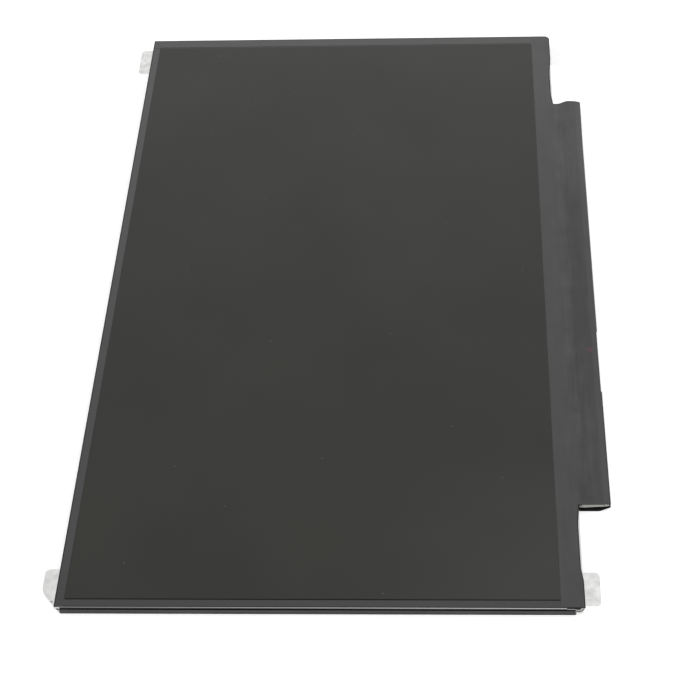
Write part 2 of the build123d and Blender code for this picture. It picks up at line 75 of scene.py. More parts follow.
def add(tree, kind, inputs=None, **settings):
    """Add one node. Settings are its properties; inputs are values, or sockets to link from."""
    node = tree.nodes.new(kind)
    for name, value in settings.items():
        setattr(node, name, value)
    for socket, value in (inputs or {}).items():
        if isinstance(value, bpy.types.NodeSocket):
            tree.links.new(value, node.inputs[socket])
        else:
            node.inputs[socket].default_value = value
    return node


def start_material(name):
    """A new material with an empty node tree."""
    material = bpy.data.materials.new(name)
    material.use_nodes = True
    material.node_tree.nodes.clear()
    return material, material.node_tree


def per_mm(size):
    """Noise scale for features of this size in millimetres, on coordinates in metres."""
    return 1.0 / (size * MM)


print("mid grey is", [round(c, 3) for c in linear("#808080")])

# %% [markdown]
# ## The front polarizer
#
# The screen's face is a polarizing film: stained plastic between two clear skins, coated with a hard
# varnish full of fine silica grains that blur reflections. With the backlight off it is nearly black, and
# what the eye sees is mostly the white studio mirrored in the varnish. So the base colour is very dark and
# a little warm, and the IOR is that of the varnish: a flat view reflects more than a steep one, which makes
# the far end paler than the near end. Clouds of 45 mm in stain and roughness stand for handling marks. The
# colour is also painted paler near the near corner on the board's side, a painted reflection of a brighter
# part of the studio. Dust sits on any screen: a Voronoi pattern with one point in each 48 mm cell gives a
# speck of about 0.3 mm to each. All this could be painted on an image, but patterns made of nodes have no
# edge and no resolution.

# %% Stain, dust and handling marks of the polarizer
DUST_CELL = 48
SHEEN_PLACE = (-130 * MM, -66 * MM, 3 * MM)

anti_glare, tree = start_material("anti_glare_polarizer")
place = add(tree, "ShaderNodeTexCoord")
clouds = add(tree, "ShaderNodeTexNoise", {
    "Vector": place.outputs["Object"], "Scale": per_mm(45), "Detail": 2.0})
marks = add(tree, "ShaderNodeMapRange", {"Value": clouds.outputs["Fac"], "From Min": 0.3, "From Max": 0.7})
stain = add(tree, "ShaderNodeMix", {
    "Factor": marks.outputs["Result"], "A": linear("#040400"), "B": linear("#121106")}, data_type="RGBA")
motes = add(tree, "ShaderNodeTexVoronoi", {"Vector": place.outputs["Object"], "Scale": per_mm(DUST_CELL)},
            voronoi_dimensions="2D")
speck = add(tree, "ShaderNodeMapRange", {
    "Value": motes.outputs["Distance"], "From Min": 0.15 / DUST_CELL, "From Max": 0.35 / DUST_CELL,
    "To Min": 1.0, "To Max": 0.0})
# Painted reflection: the colour is made paler within 65 mm of the near corner on the board's side.
from_sheen = add(tree, "ShaderNodeVectorMath", {
    0: place.outputs["Object"], 1: SHEEN_PLACE}, operation="DISTANCE")
painted_sheen = add(tree, "ShaderNodeMapRange", {
    "Value": from_sheen.outputs["Value"], "From Min": 5 * MM, "From Max": 65 * MM, "To Min": 0.011, "To Max": 0.0},
    interpolation_type="SMOOTHSTEP")
stain_and_sheen = add(tree, "ShaderNodeVectorMath", {
    0: stain.outputs["Result"], 1: painted_sheen.outputs["Result"]}, operation="ADD")
print("one speck of dust in each", DUST_CELL, "mm of", anti_glare.name)

# %% [markdown]
# ## Cut edge and grain of the polarizer
#
# The film was punched to size, and the blade left a pale rim of 0.3 mm at its far end, where the varnish
# chipped. The varnish grains are about a hundredth of a millimetre and too fine to show in a picture of
# this size, so the bump is drawn coarser, at half a millimetre. It gives the eye a satin face with soft,
# broken reflections.

# %% Anti-glare polarizer film
axes = add(tree, "ShaderNodeSeparateXYZ", {"Vector": place.outputs["Object"]})
far_cut = add(tree, "ShaderNodeMapRange", {
    "Value": axes.outputs["X"], "From Min": 128.7 * MM, "From Max": 129.0 * MM, "To Max": 0.03})
rimmed = add(tree, "ShaderNodeVectorMath", {
    0: stain_and_sheen.outputs["Vector"], 1: far_cut.outputs["Result"]}, operation="ADD")
dusty = add(tree, "ShaderNodeMix", {
    "Factor": speck.outputs["Result"], "A": rimmed.outputs["Vector"], "B": linear("#3c3b38")},
    data_type="RGBA")
grain = add(tree, "ShaderNodeTexNoise", {
    "Vector": place.outputs["Object"], "Scale": per_mm(0.5), "Detail": 1.0})
grain_bump = add(tree, "ShaderNodeBump", {
    "Height": grain.outputs["Fac"], "Strength": 0.05, "Distance": 0.02 * MM})
haze = add(tree, "ShaderNodeMapRange", {"Value": clouds.outputs["Fac"], "To Min": 0.15, "To Max": 0.24})
surface = add(tree, "ShaderNodeBsdfPrincipled", {
    "Base Color": dusty.outputs["Result"], "Roughness": haze.outputs["Result"], "IOR": 1.52,
    "Normal": grain_bump.outputs["Normal"]})
add(tree, "ShaderNodeOutputMaterial", {"Surface": surface.outputs["BSDF"]})
print("made", anti_glare.name)

# %% [markdown]
# ## Black film: its tones
#
# The board's sleeve is black polyester film, extruded, drawn and satin embossed. It is dyed through, so its
# colour is one dark grey. The greys here are painted reflection: the film is painted paler where it is glued
# flat to the glass and mirrors more of the bright studio, and darker where it hangs free and tilted over the
# board. That change follows the module's lower edge, which the frame's box gives. The free part is painted a
# little paler at the near end and where it hangs slack at the far end. One flat colour would look like
# painted card, so smooth steps along X and Y mix five greys instead.

# %% Tones of the black film
film_low, film_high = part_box("front_film")
frame_low, frame_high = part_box("mould_frame")
board_low, board_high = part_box("control_board")

black_film, tree = start_material("black_polyester_film")
place = add(tree, "ShaderNodeTexCoord")
axes = add(tree, "ShaderNodeSeparateXYZ", {"Vector": place.outputs["Object"]})
# Painted reflection: paler where the film lies flat on the glass, darker where it hangs free, and the free
# part paler towards both ends.
glued = add(tree, "ShaderNodeMapRange", {
    "Value": axes.outputs["Y"], "From Min": frame_low.y - 3.2 * MM, "From Max": frame_low.y + 0.6 * MM},
    interpolation_type="SMOOTHSTEP")
far = add(tree, "ShaderNodeMapRange", {
    "Value": axes.outputs["X"], "From Min": 60 * MM, "From Max": 110 * MM}, interpolation_type="SMOOTHSTEP")
near = add(tree, "ShaderNodeMapRange", {
    "Value": axes.outputs["X"], "From Min": -20 * MM, "From Max": -80 * MM}, interpolation_type="SMOOTHSTEP")
slack = add(tree, "ShaderNodeMapRange", {
    "Value": axes.outputs["X"], "From Min": 32 * MM, "From Max": 66 * MM}, interpolation_type="SMOOTHSTEP")
free_far_sheen = add(tree, "ShaderNodeMix", {
    "Factor": slack.outputs["Result"], "A": linear("#121212"), "B": linear("#242424")}, data_type="RGBA")
free_sheen = add(tree, "ShaderNodeMix", {
    "Factor": near.outputs["Result"], "A": free_far_sheen.outputs["Result"], "B": linear("#1f1f1f")},
    data_type="RGBA")
glued_sheen = add(tree, "ShaderNodeMix", {
    "Factor": far.outputs["Result"], "A": linear("#282828"), "B": linear("#313131")}, data_type="RGBA")
tone = add(tree, "ShaderNodeMix", {
    "Factor": glued.outputs["Result"], "A": free_sheen.outputs["Result"], "B": glued_sheen.outputs["Result"]},
    data_type="RGBA")
print("five greys in", black_film.name)

# %% [markdown]
# ## Black film: streaks, pressed band and pen mark
#
# Drawing leaves streaks along the roll, so one noise is stretched along X, and a second noise gives patches
# of 7 mm. In the colour both are painted reflection: they lighten and darken the film as the light mirrored
# by an uneven film would, most on the band beside the crease, where the film was pressed down by hand.
# A red pen has touched the film near the board's edge and left a faint dot of about 3 mm.

# %% Streaks and marks of the black film
PEN_PLACE = (-32 * MM, -82.9 * MM, 2.2 * MM)
PEN_TINT = (0.055, 0.0, 0.017)
DEEPEST_BLACK = (0.002, 0.002, 0.002)

drawn = add(tree, "ShaderNodeMapping", {"Vector": place.outputs["Object"], "Scale": (0.08, 1.0, 1.0)})
streaks = add(tree, "ShaderNodeTexNoise", {
    "Vector": drawn.outputs["Vector"], "Scale": per_mm(1.6), "Detail": 3.0})
patches = add(tree, "ShaderNodeTexNoise", {
    "Vector": place.outputs["Object"], "Scale": per_mm(7), "Detail": 3.0})
blotch = add(tree, "ShaderNodeMath", {
    0: streaks.outputs["Fac"], 1: patches.outputs["Fac"]}, operation="ADD")
pressed_from = add(tree, "ShaderNodeMapRange", {
    "Value": axes.outputs["Y"], "From Min": frame_low.y - 7.5 * MM, "From Max": frame_low.y - 3.5 * MM})
pressed_to = add(tree, "ShaderNodeMapRange", {
    "Value": axes.outputs["Y"], "From Min": frame_low.y + 3.0 * MM, "From Max": frame_low.y - 0.5 * MM})
pressed = add(tree, "ShaderNodeMath", {
    0: pressed_from.outputs["Result"], 1: pressed_to.outputs["Result"]}, operation="MULTIPLY")
swing = add(tree, "ShaderNodeMapRange", {"Value": pressed.outputs[0], "To Min": 0.2, "To Max": 0.65})
# Painted reflection: the streaks and patches lighten and darken the film's colour, most on the pressed band.
light = add(tree, "ShaderNodeMapRange", {
    "Value": blotch.outputs[0], "From Min": 0.75, "From Max": 1.25, "To Min": -0.018, "To Max": 0.013})
lift = add(tree, "ShaderNodeMath", {
    0: light.outputs["Result"], 1: swing.outputs["Result"]}, operation="MULTIPLY")
shade = add(tree, "ShaderNodeVectorMath", {0: tone.outputs["Result"], 1: lift.outputs[0]}, operation="ADD")
tone_with_sheen = add(tree, "ShaderNodeVectorMath", {0: shade.outputs["Vector"], 1: DEEPEST_BLACK}, operation="MAXIMUM")
from_pen = add(tree, "ShaderNodeVectorMath", {
    0: place.outputs["Object"], 1: PEN_PLACE}, operation="DISTANCE")
pen = add(tree, "ShaderNodeMapRange", {
    "Value": from_pen.outputs["Value"], "From Min": 0.2 * MM, "From Max": 1.7 * MM,
    "To Min": 1.0, "To Max": 0.0}, interpolation_type="SMOOTHSTEP")
marked = add(tree, "ShaderNodeVectorMath", {
    0: pen.outputs["Result"], 1: PEN_TINT, 2: tone_with_sheen.outputs["Vector"]}, operation="MULTIPLY_ADD")
print("streaks of 1.6 mm on", black_film.name)

# %% [markdown]
# ## Black film: its satin face
#
# Polyester has a high IOR for a plastic, so even a black film mirrors the white studio, and most of its
# grey is that mirror image. The embossed dimples are finer than a tenth of a millimetre; they are drawn at
# 0.8 mm so that they show. They give the eye a satin sheen that breaks up along the streaks.

# %% Black polyester film
gloss = add(tree, "ShaderNodeMapRange", {"Value": streaks.outputs["Fac"], "To Min": 0.18, "To Max": 0.30})
dimples = add(tree, "ShaderNodeTexNoise", {
    "Vector": place.outputs["Object"], "Scale": per_mm(0.8), "Detail": 2.0})
dimple_bump = add(tree, "ShaderNodeBump", {
    "Height": dimples.outputs["Fac"], "Strength": 0.10, "Distance": 0.03 * MM})
surface = add(tree, "ShaderNodeBsdfPrincipled", {
    "Base Color": marked.outputs["Vector"], "Roughness": gloss.outputs["Result"], "IOR": 1.62,
    "Normal": dimple_bump.outputs["Normal"]})
add(tree, "ShaderNodeOutputMaterial", {"Surface": surface.outputs["BSDF"]})
print("made", black_film.name)

# %% [markdown]
# ## Black border tape
#
# The tape on the glass border is the same plastic in a narrow roll, glossy enough to mirror the room. Its
# colour is a little paler towards the far end and darker at the near end. Where it meets the far end of the
# polarizer, the open seam shows as a black line 0.6 mm wide.

# %% Black border tape
SEAM = 129.25 * MM
SEAM_HALF_WIDTH = 0.3 * MM

black_tape, tree = start_material("black_polyester_tape")
place = add(tree, "ShaderNodeTexCoord")
axes = add(tree, "ShaderNodeSeparateXYZ", {"Vector": place.outputs["Object"]})
# Darker towards the near end, paler towards the far end.
near_end_ramp = add(tree, "ShaderNodeMapRange", {
    "Value": axes.outputs["X"], "From Min": frame_low.x + 2 * MM, "From Max": frame_low.x + 26 * MM},
    interpolation_type="SMOOTHSTEP")
far = add(tree, "ShaderNodeMapRange", {
    "Value": axes.outputs["X"], "From Min": -60 * MM, "From Max": 90 * MM})
ramp_tone = add(tree, "ShaderNodeMix", {
    "Factor": far.outputs["Result"], "A": linear("#252525"), "B": linear("#323232")}, data_type="RGBA")
tone = add(tree, "ShaderNodeMix", {
    "Factor": near_end_ramp.outputs["Result"], "A": linear("#1d1d1d"), "B": ramp_tone.outputs["Result"]},
    data_type="RGBA")
patches = add(tree, "ShaderNodeTexNoise", {
    "Vector": place.outputs["Object"], "Scale": per_mm(6), "Detail": 3.0})
patch_light = add(tree, "ShaderNodeMapRange", {
    "Value": patches.outputs["Fac"], "To Min": 0.80, "To Max": 1.20})
shade = add(tree, "ShaderNodeVectorMath", {
    0: tone.outputs["Result"], 1: patch_light.outputs["Result"]}, operation="MULTIPLY")
from_seam = add(tree, "ShaderNodeMath", {
    0: axes.outputs["X"], 1: SEAM, 2: SEAM_HALF_WIDTH}, operation="COMPARE")
seamed = add(tree, "ShaderNodeMix", {
    "Factor": from_seam.outputs[0], "A": shade.outputs["Vector"], "B": linear("#010101")}, data_type="RGBA")
gloss = add(tree, "ShaderNodeMapRange", {"Value": patches.outputs["Fac"], "To Min": 0.16, "To Max": 0.28})
surface = add(tree, "ShaderNodeBsdfPrincipled", {
    "Base Color": seamed.outputs["Result"], "Roughness": gloss.outputs["Result"], "IOR": 1.65})
add(tree, "ShaderNodeOutputMaterial", {"Surface": surface.outputs["BSDF"]})
print("made", black_tape.name)

# %% [markdown]
# ## Creased edge tape
#
# A thinner black tape is wrapped round the frame's sides to keep the backlight in. It was pulled tight
# along Y and has long creases, so its noise is stretched that way; their raised backs are painted paler, a
# painted highlight. It is folded over onto the frame's rim. On that lip the colour is painted black on the
# inner part, as painted shade under the glass's edge, and pale grey on the outer part, as painted light. The
# direction of the normal tells the lip from the wall. The tape gives the eye a dull dark wall under a thin
# grey line.

# %% Creased edge tape
LIP_SHADE_FROM, LIP_SHADE_TO = frame_high.x - 0.38 * MM, frame_high.x - 0.18 * MM

edge_tape, tree = start_material("creased_black_tape")
place = add(tree, "ShaderNodeTexCoord")
drawn = add(tree, "ShaderNodeMapping", {"Vector": place.outputs["Object"], "Scale": (1.0, 0.04, 1.0)})
creases = add(tree, "ShaderNodeTexNoise", {
    "Vector": drawn.outputs["Vector"], "Scale": per_mm(0.7), "Detail": 2.0})
# Painted highlight: the wall's colour is paler on the backs of the creases.
crease_highlight = add(tree, "ShaderNodeMapRange", {"Value": creases.outputs["Fac"], "From Min": 0.4, "From Max": 0.75})
wall = add(tree, "ShaderNodeMix", {
    "Factor": crease_highlight.outputs["Result"], "A": linear("#1b1b1b"), "B": linear("#3e3e3e")}, data_type="RGBA")
facing = add(tree, "ShaderNodeNewGeometry")
split = add(tree, "ShaderNodeSeparateXYZ", {"Vector": facing.outputs["True Normal"]})
upright = add(tree, "ShaderNodeMath", {0: split.outputs["Z"]}, operation="ABSOLUTE")
axes = add(tree, "ShaderNodeSeparateXYZ", {"Vector": place.outputs["Object"]})
outwards = add(tree, "ShaderNodeMath", {0: axes.outputs["X"]}, operation="ABSOLUTE")
# Painted shade and light: the lip's colour goes from black under the glass to pale grey outside it.
dust = add(tree, "ShaderNodeMapRange", {
    "Value": outwards.outputs[0], "From Min": LIP_SHADE_FROM, "From Max": LIP_SHADE_TO})
lip = add(tree, "ShaderNodeMix", {
    "Factor": dust.outputs["Result"], "A": linear("#020202"), "B": linear("#5c5c5c")}, data_type="RGBA")
tone = add(tree, "ShaderNodeMix", {
    "Factor": upright.outputs[0], "A": wall.outputs["Result"], "B": lip.outputs["Result"]}, data_type="RGBA")
dull = add(tree, "ShaderNodeMapRange", {"Value": creases.outputs["Fac"], "To Min": 0.45, "To Max": 0.58})
surface = add(tree, "ShaderNodeBsdfPrincipled", {
    "Base Color": tone.outputs["Result"], "Roughness": dull.outputs["Result"], "IOR": 1.45})
add(tree, "ShaderNodeOutputMaterial", {"Surface": surface.outputs["BSDF"]})
print("made", edge_tape.name)

# %% [markdown]
# ## The glass cell
#
# Two sheets of thin float glass hold the liquid crystal. A black mask on the inner face makes the front
# look black. The edges were scribed, snapped and ground. On the front sheet the ground edge shows as a pale
# line; on the rear sheet it is painted black, so that the backlight does not leak. The material tells face
# from edge by the direction of its normal: where it points sideways, the colour is that of the edge. On both
# sheets the edge is painted paler towards -Y, a painted highlight. Near the corner on the -Y side, at the
# ledge, the black paint is missing, and a bare strip of edge shows pale; near the corner on the +Y side a
# strip of edge is painted white, a painted glint. The eye sees a thin bright line that ends short of the
# corners.


# %% Float glass with a ground edge
def float_glass(name, edge_dark, edge_light, highlight_from, highlight_to, bare_and_glint_strips=()):
    """Glass whose edge is painted from dark to light along Y, in millimetres, as a painted highlight, with
    strips in a tone of their own: bare edge, or white as a painted glint.
    """
    material, tree = start_material(name)
    place = add(tree, "ShaderNodeTexCoord")
    facing = add(tree, "ShaderNodeNewGeometry")
    split = add(tree, "ShaderNodeSeparateXYZ", {"Vector": facing.outputs["True Normal"]})
    upright = add(tree, "ShaderNodeMath", {0: split.outputs["Z"]}, operation="ABSOLUTE")
    chips = add(tree, "ShaderNodeTexNoise", {
        "Vector": place.outputs["Object"], "Scale": per_mm(6), "Detail": 4.0})
    along = add(tree, "ShaderNodeSeparateXYZ", {"Vector": place.outputs["Object"]})
    # Painted highlight: the edge's colour turns paler along Y, together with chips in the edge.
    edge_highlight = add(tree, "ShaderNodeMapRange", {
        "Value": along.outputs["Y"], "From Min": highlight_from * MM, "From Max": highlight_to * MM})
    worn = add(tree, "ShaderNodeMath", {0: chips.outputs["Fac"], 1: 0.3, 2: edge_highlight.outputs["Result"]},
               operation="MULTIPLY_ADD", use_clamp=True)
    edge_tone = add(tree, "ShaderNodeMix", {
        "Factor": worn.outputs[0], "A": linear(edge_dark), "B": linear(edge_light)}, data_type="RGBA")
    for start, end, colour in bare_and_glint_strips:
        strip = add(tree, "ShaderNodeMath", {
            0: along.outputs["Y"], 1: (start + end) / 2 * MM, 2: (end - start) / 2 * MM}, operation="COMPARE")
        edge_tone = add(tree, "ShaderNodeMix", {
            "Factor": strip.outputs[0], "A": edge_tone.outputs["Result"], "B": linear(colour)},
            data_type="RGBA")
    tone = add(tree, "ShaderNodeMix", {
        "Factor": upright.outputs["Value"], "A": edge_tone.outputs["Result"], "B": linear("#060606")},
        data_type="RGBA")
    polish = add(tree, "ShaderNodeMapRange", {
        "Value": upright.outputs["Value"], "To Min": 0.45, "To Max": 0.10})
    surface = add(tree, "ShaderNodeBsdfPrincipled", {
        "Base Color": tone.outputs["Result"], "Roughness": polish.outputs["Result"], "IOR": 1.52})
    add(tree, "ShaderNodeOutputMaterial", {"Surface": surface.outputs["BSDF"]})
    return material


ledge_strip = (-73.0, -70.6, "#9c9d9b")
# Painted glint: near the corner on the +Y side the rear sheet's edge is painted white.
corner_glint_strip = (79.3, 81.0, "#ffffff")
pale_edged_glass = float_glass("pale_edged_glass", "#4c4f4e", "#b4b8b5", 95, -75)
black_edged_glass = float_glass(
    "black_edged_glass", "#020202", "#363837", 0, -75, (ledge_strip, corner_glint_strip))
print("made", pale_edged_glass.name, black_edged_glass.name)

# %% [markdown]
# ## Sheet metal
#
# The corner brackets are stamped from bright tinned steel. Rolling leaves fine lines, handling leaves soft
# dents and dull patches, so both the roughness and the bump vary over a few millimetres. A grey spot of about
# a millimetre on the near left ear is painted shadow, where the ear meets the frame's corner, and one bracket
# gets a paler copy of the tin, a painted highlight. On a white table the tin mirrors white, so the eye sees
# pale ears with soft grey clouds.


# %% Tinned steel
SHADOW_SPOT_PLACE = (-130.1 * MM, 82.5 * MM, 0.5 * MM)


def tinned_sheet(name, dark, light):
    """Bright dented sheet with clouds between two tones."""
    material, tree = start_material(name)
    place = add(tree, "ShaderNodeTexCoord")
    dents = add(tree, "ShaderNodeTexNoise", {
        "Vector": place.outputs["Object"], "Scale": per_mm(2.2), "Detail": 3.0})
    spread = add(tree, "ShaderNodeMapRange", {
        "Value": dents.outputs["Fac"], "From Min": 0.3, "From Max": 0.7})
    bright = add(tree, "ShaderNodeMix", {
        "Factor": spread.outputs["Result"], "A": linear(dark), "B": linear(light)}, data_type="RGBA")
    # Painted shadow: a grey spot of about a millimetre on the near left ear.
    from_shadow_spot = add(tree, "ShaderNodeVectorMath", {
        0: place.outputs["Object"], 1: SHADOW_SPOT_PLACE}, operation="DISTANCE")
    painted_shadow_spot = add(tree, "ShaderNodeMapRange", {
        "Value": from_shadow_spot.outputs["Value"], "From Min": 0.2 * MM, "From Max": 0.7 * MM,
        "To Min": 1.0, "To Max": 0.0})
    tin = add(tree, "ShaderNodeMix", {
        "Factor": painted_shadow_spot.outputs["Result"], "A": bright.outputs["Result"], "B": linear("#a0a09f")},
        data_type="RGBA")
    dull = add(tree, "ShaderNodeMapRange", {"Value": dents.outputs["Fac"], "To Min": 0.30, "To Max": 0.52})
    bump = add(tree, "ShaderNodeBump", {
        "Height": dents.outputs["Fac"], "Strength": 0.5, "Distance": 0.06 * MM})
    surface = add(tree, "ShaderNodeBsdfPrincipled", {
        "Base Color": tin.outputs["Result"], "Metallic": 1.0, "Roughness": dull.outputs["Result"],
        "Normal": bump.outputs["Normal"]})
    add(tree, "ShaderNodeOutputMaterial", {"Surface": surface.outputs["BSDF"]})
    return material


tinned_steel = tinned_sheet("tinned_sheet_steel", "#d5d5d4", "#f1f1f0")
# Painted highlight: a paler copy of the tin, for the bracket that catches the most light.
highlit_tin = tinned_sheet("highlit_tinned_steel", "#f7f7f6", "#ffffff")
print("made", tinned_steel.name, "and", highlit_tin.name)

# %% [markdown]
# ## The rear cover's aluminium
#
# The rear cover is a shallow tray of thin aluminium with a satin rolled face. Rolling lines run along X and
# are finer than a tenth of a millimetre; they are drawn at 0.6 mm so that they show. They give the eye a
# soft sheen that changes from line to line.

# %% Rolled aluminium
rolled_aluminium, tree = start_material("rolled_aluminium")
place = add(tree, "ShaderNodeTexCoord")
along = add(tree, "ShaderNodeMapping", {"Vector": place.outputs["Object"], "Scale": (0.02, 1.0, 1.0)})
lines = add(tree, "ShaderNodeTexNoise", {
    "Vector": along.outputs["Vector"], "Scale": per_mm(0.6), "Detail": 3.0})
metal = add(tree, "ShaderNodeMix", {
    "Factor": lines.outputs["Fac"], "A": linear("#c3c5c7"), "B": linear("#d2d3d4")}, data_type="RGBA")
satin = add(tree, "ShaderNodeMapRange", {"Value": lines.outputs["Fac"], "To Min": 0.30, "To Max": 0.44})
surface = add(tree, "ShaderNodeBsdfPrincipled", {
    "Base Color": metal.outputs["Result"], "Metallic": 1.0, "Roughness": satin.outputs["Result"]})
add(tree, "ShaderNodeOutputMaterial", {"Surface": surface.outputs["BSDF"]})
print("made", rolled_aluminium.name)

# %% [markdown]
# ## The mould frame's polycarbonate
#
# The frame is moulded in white polycarbonate, filled so that no light gets through. The mould was cut by
# spark erosion, which leaves a grain of a few hundredths of a millimetre, drawn here at 0.3 mm so that it
# shows. Its upright sides are painted grey, darker than its flats, as painted shade; this also keeps them
# apart from the white table. The eye sees a soft white without any mirror image.

# %% White polycarbonate
white_polycarbonate, tree = start_material("white_polycarbonate")
place = add(tree, "ShaderNodeTexCoord")
erosion = add(tree, "ShaderNodeTexNoise", {
    "Vector": place.outputs["Object"], "Scale": per_mm(0.3), "Detail": 2.0})
white = add(tree, "ShaderNodeMix", {
    "Factor": erosion.outputs["Fac"], "A": linear("#f4f4f3"), "B": linear("#fafafa")}, data_type="RGBA")
facing = add(tree, "ShaderNodeNewGeometry")
split = add(tree, "ShaderNodeSeparateXYZ", {"Vector": facing.outputs["True Normal"]})
upright = add(tree, "ShaderNodeMath", {0: split.outputs["Z"]}, operation="ABSOLUTE")
# Painted shade: faces that stand upright are painted grey.
shaded_sides = add(tree, "ShaderNodeMix", {
    "Factor": upright.outputs[0], "A": linear("#c2c2c0"), "B": white.outputs["Result"]}, data_type="RGBA")
grain_bump = add(tree, "ShaderNodeBump", {
    "Height": erosion.outputs["Fac"], "Strength": 0.2, "Distance": 0.02 * MM})
surface = add(tree, "ShaderNodeBsdfPrincipled", {
    "Base Color": shaded_sides.outputs["Result"], "Roughness": 0.5, "IOR": 1.58,
    "Normal": grain_bump.outputs["Normal"]})
add(tree, "ShaderNodeOutputMaterial", {"Surface": surface.outputs["BSDF"]})
print("made", white_polycarbonate.name)

# %% [markdown]
# ## The control board's laminate
#
# The board is glass cloth and epoxy, pressed in layers and sawn. A green varnish covers its faces, and the
# sawn edge is pale with stripes where the plies show. A ply is about 0.2 mm thick and too fine to show, so
# the wave pattern draws the stripes about six times as coarse. Again the normal tells face from edge.

# %% Glass-fibre laminate
PLY = 0.2
WAVE_BANDS = 20  # radians of Blender's wave pattern in one unit of its scale

fibre_laminate, tree = start_material("glass_fibre_laminate")
place = add(tree, "ShaderNodeTexCoord")
facing = add(tree, "ShaderNodeNewGeometry")
split = add(tree, "ShaderNodeSeparateXYZ", {"Vector": facing.outputs["True Normal"]})
upright = add(tree, "ShaderNodeMath", {0: split.outputs["Z"]}, operation="ABSOLUTE")
plies = add(tree, "ShaderNodeTexWave", {
    "Vector": place.outputs["Object"], "Scale": per_mm(PLY) / WAVE_BANDS, "Distortion": 1.5, "Detail": 2.0},
    bands_direction="Z")
sawn = add(tree, "ShaderNodeMix", {
    "Factor": plies.outputs["Fac"], "A": linear("#8f908a"), "B": linear("#a3a49d")}, data_type="RGBA")
varnish = add(tree, "ShaderNodeMix", {
    "Factor": upright.outputs["Value"], "A": sawn.outputs["Result"], "B": linear("#17402c")},
    data_type="RGBA")
surface = add(tree, "ShaderNodeBsdfPrincipled", {
    "Base Color": varnish.outputs["Result"], "Roughness": 0.45, "IOR": 1.55})
add(tree, "ShaderNodeOutputMaterial", {"Surface": surface.outputs["BSDF"]})
print("made", fibre_laminate.name)

# %% [markdown]
# ## Plain finishes of the small and hidden pieces
#
# Chips are black epoxy, sockets are ivory liquid crystal polymer, tails are amber polyimide and the
# backlight's sheets are white and clear films. Little of them shows, so one function makes them all: a soft
# mottle of two close tones with a roughness that follows it. Each has the grain size, gloss and IOR of its
# own material, and the metals keep the default IOR.


# %% Plain finishes
def grained(name, dark, light, size, roughness, ior=1.5, metallic=0.0, gloss=0.5):
    """A finish with a soft mottle of two tones, for pieces that are small or hidden."""
    material, tree = start_material(name)
    place = add(tree, "ShaderNodeTexCoord")
    mottle = add(tree, "ShaderNodeTexNoise", {
        "Vector": place.outputs["Object"], "Scale": per_mm(size), "Detail": 3.0})
    tone = add(tree, "ShaderNodeMix", {
        "Factor": mottle.outputs["Fac"], "A": linear(dark), "B": linear(light)}, data_type="RGBA")
    worn = add(tree, "ShaderNodeMapRange", {
        "Value": mottle.outputs["Fac"], "To Min": roughness - 0.06, "To Max": roughness + 0.06})
    surface = add(tree, "ShaderNodeBsdfPrincipled", {
        "Base Color": tone.outputs["Result"], "Roughness": worn.outputs["Result"], "Metallic": metallic,
        "Specular IOR Level": gloss})
    if not metallic:
        surface.inputs["IOR"].default_value = ior
    add(tree, "ShaderNodeOutputMaterial", {"Surface": surface.outputs["BSDF"]})
    return material


finishes = {
    "polarizer_film": anti_glare,
    "black_film": black_film,
    "black_tape": black_tape,
    "cell_glass": pale_edged_glass,
    "bracket_steel": tinned_steel,
    "rear_sheet": rolled_aluminium,
    "frame_plastic": white_polycarbonate,
    "board_laminate": fibre_laminate,
    "reflector_film": grained("white_polyester_reflector", "#ececec", "#f4f4f4", 6, 0.5),
    "guide_acrylic": grained("clear_acrylic_guide", "#d9dedf", "#e4e8e8", 12, 0.15, 1.49),
    "diffuser_film": grained("milky_diffuser_film", "#e4e4e4", "#efefef", 3, 0.6),
    "prism_film": grained("prism_polyester_film", "#d6dbe0", "#e3e7ea", 2, 0.25, 1.58),
    "flex_film": grained("amber_polyimide_film", "#8a5a1e", "#a06a26", 2, 0.35, 1.7),
    "pad_foam": grained("pale_foam", "#9a9a94", "#b4b4ad", 0.4, 0.9),
    "chip_epoxy": grained("black_epoxy", "#1c1c1d", "#262627", 0.3, 0.55),
    "chip_silicon": grained("ground_silicon", "#5b5d63", "#6c6e74", 0.5, 0.25, 1.5, 1.0),
    "inductor_ferrite": grained("pressed_ferrite", "#3a3a3a", "#474746", 0.3, 0.7),
    "capacitor_body": grained("fired_ceramic_chip", "#8d6f4e", "#a98a66", 0.4, 0.45),
    "light_strip": grained("white_solder_mask", "#e2e2dd", "#ecece8", 0.8, 0.4),
    "diode_body": grained("phosphor_resin", "#e6dfb0", "#efe9c4", 0.5, 0.4),
    "socket_plastic": grained("ivory_polymer", "#d3cbb4", "#e0d9c5", 0.5, 0.5),
    "contact_metal": grained("gilt_bronze", "#d9b45a", "#e8c878", 0.2, 0.25, 1.5, 1.0),
    "socket_steel": grained("plated_steel", "#c4c4c4", "#d4d4d3", 0.6, 0.3, 1.5, 1.0),
}
print(len(finishes), "finishes, one for each slot of the record")

# %% [markdown]
# ## Dressing the solids
#
# The record names a material slot for each solid. Every CAD object keeps its mesh and place, and only gets
# its finish. Sheet metal, glass and board edges also get a small bevel, because no real edge is perfectly
# sharp and the thin highlight on it is what tells the eye the material.

# %% Finishes and edge bevels
slot_of = {part["node"]: part["material_slot"] for part in frame["record"]["subparts"]}
for name, piece in nodes.items():
    piece.data.materials.clear()
    piece.data.materials.append(finishes[slot_of[name]])
for name in ("edge_tape_left", "edge_tape_right", "edge_tape_top"):
    nodes[name].data.materials[0] = edge_tape
nodes["array_glass"].data.materials[0] = black_edged_glass
# Painted highlight: this bracket gets the paler copy of the tin.
nodes["bracket_bottom_right"].data.materials[0] = highlit_tin

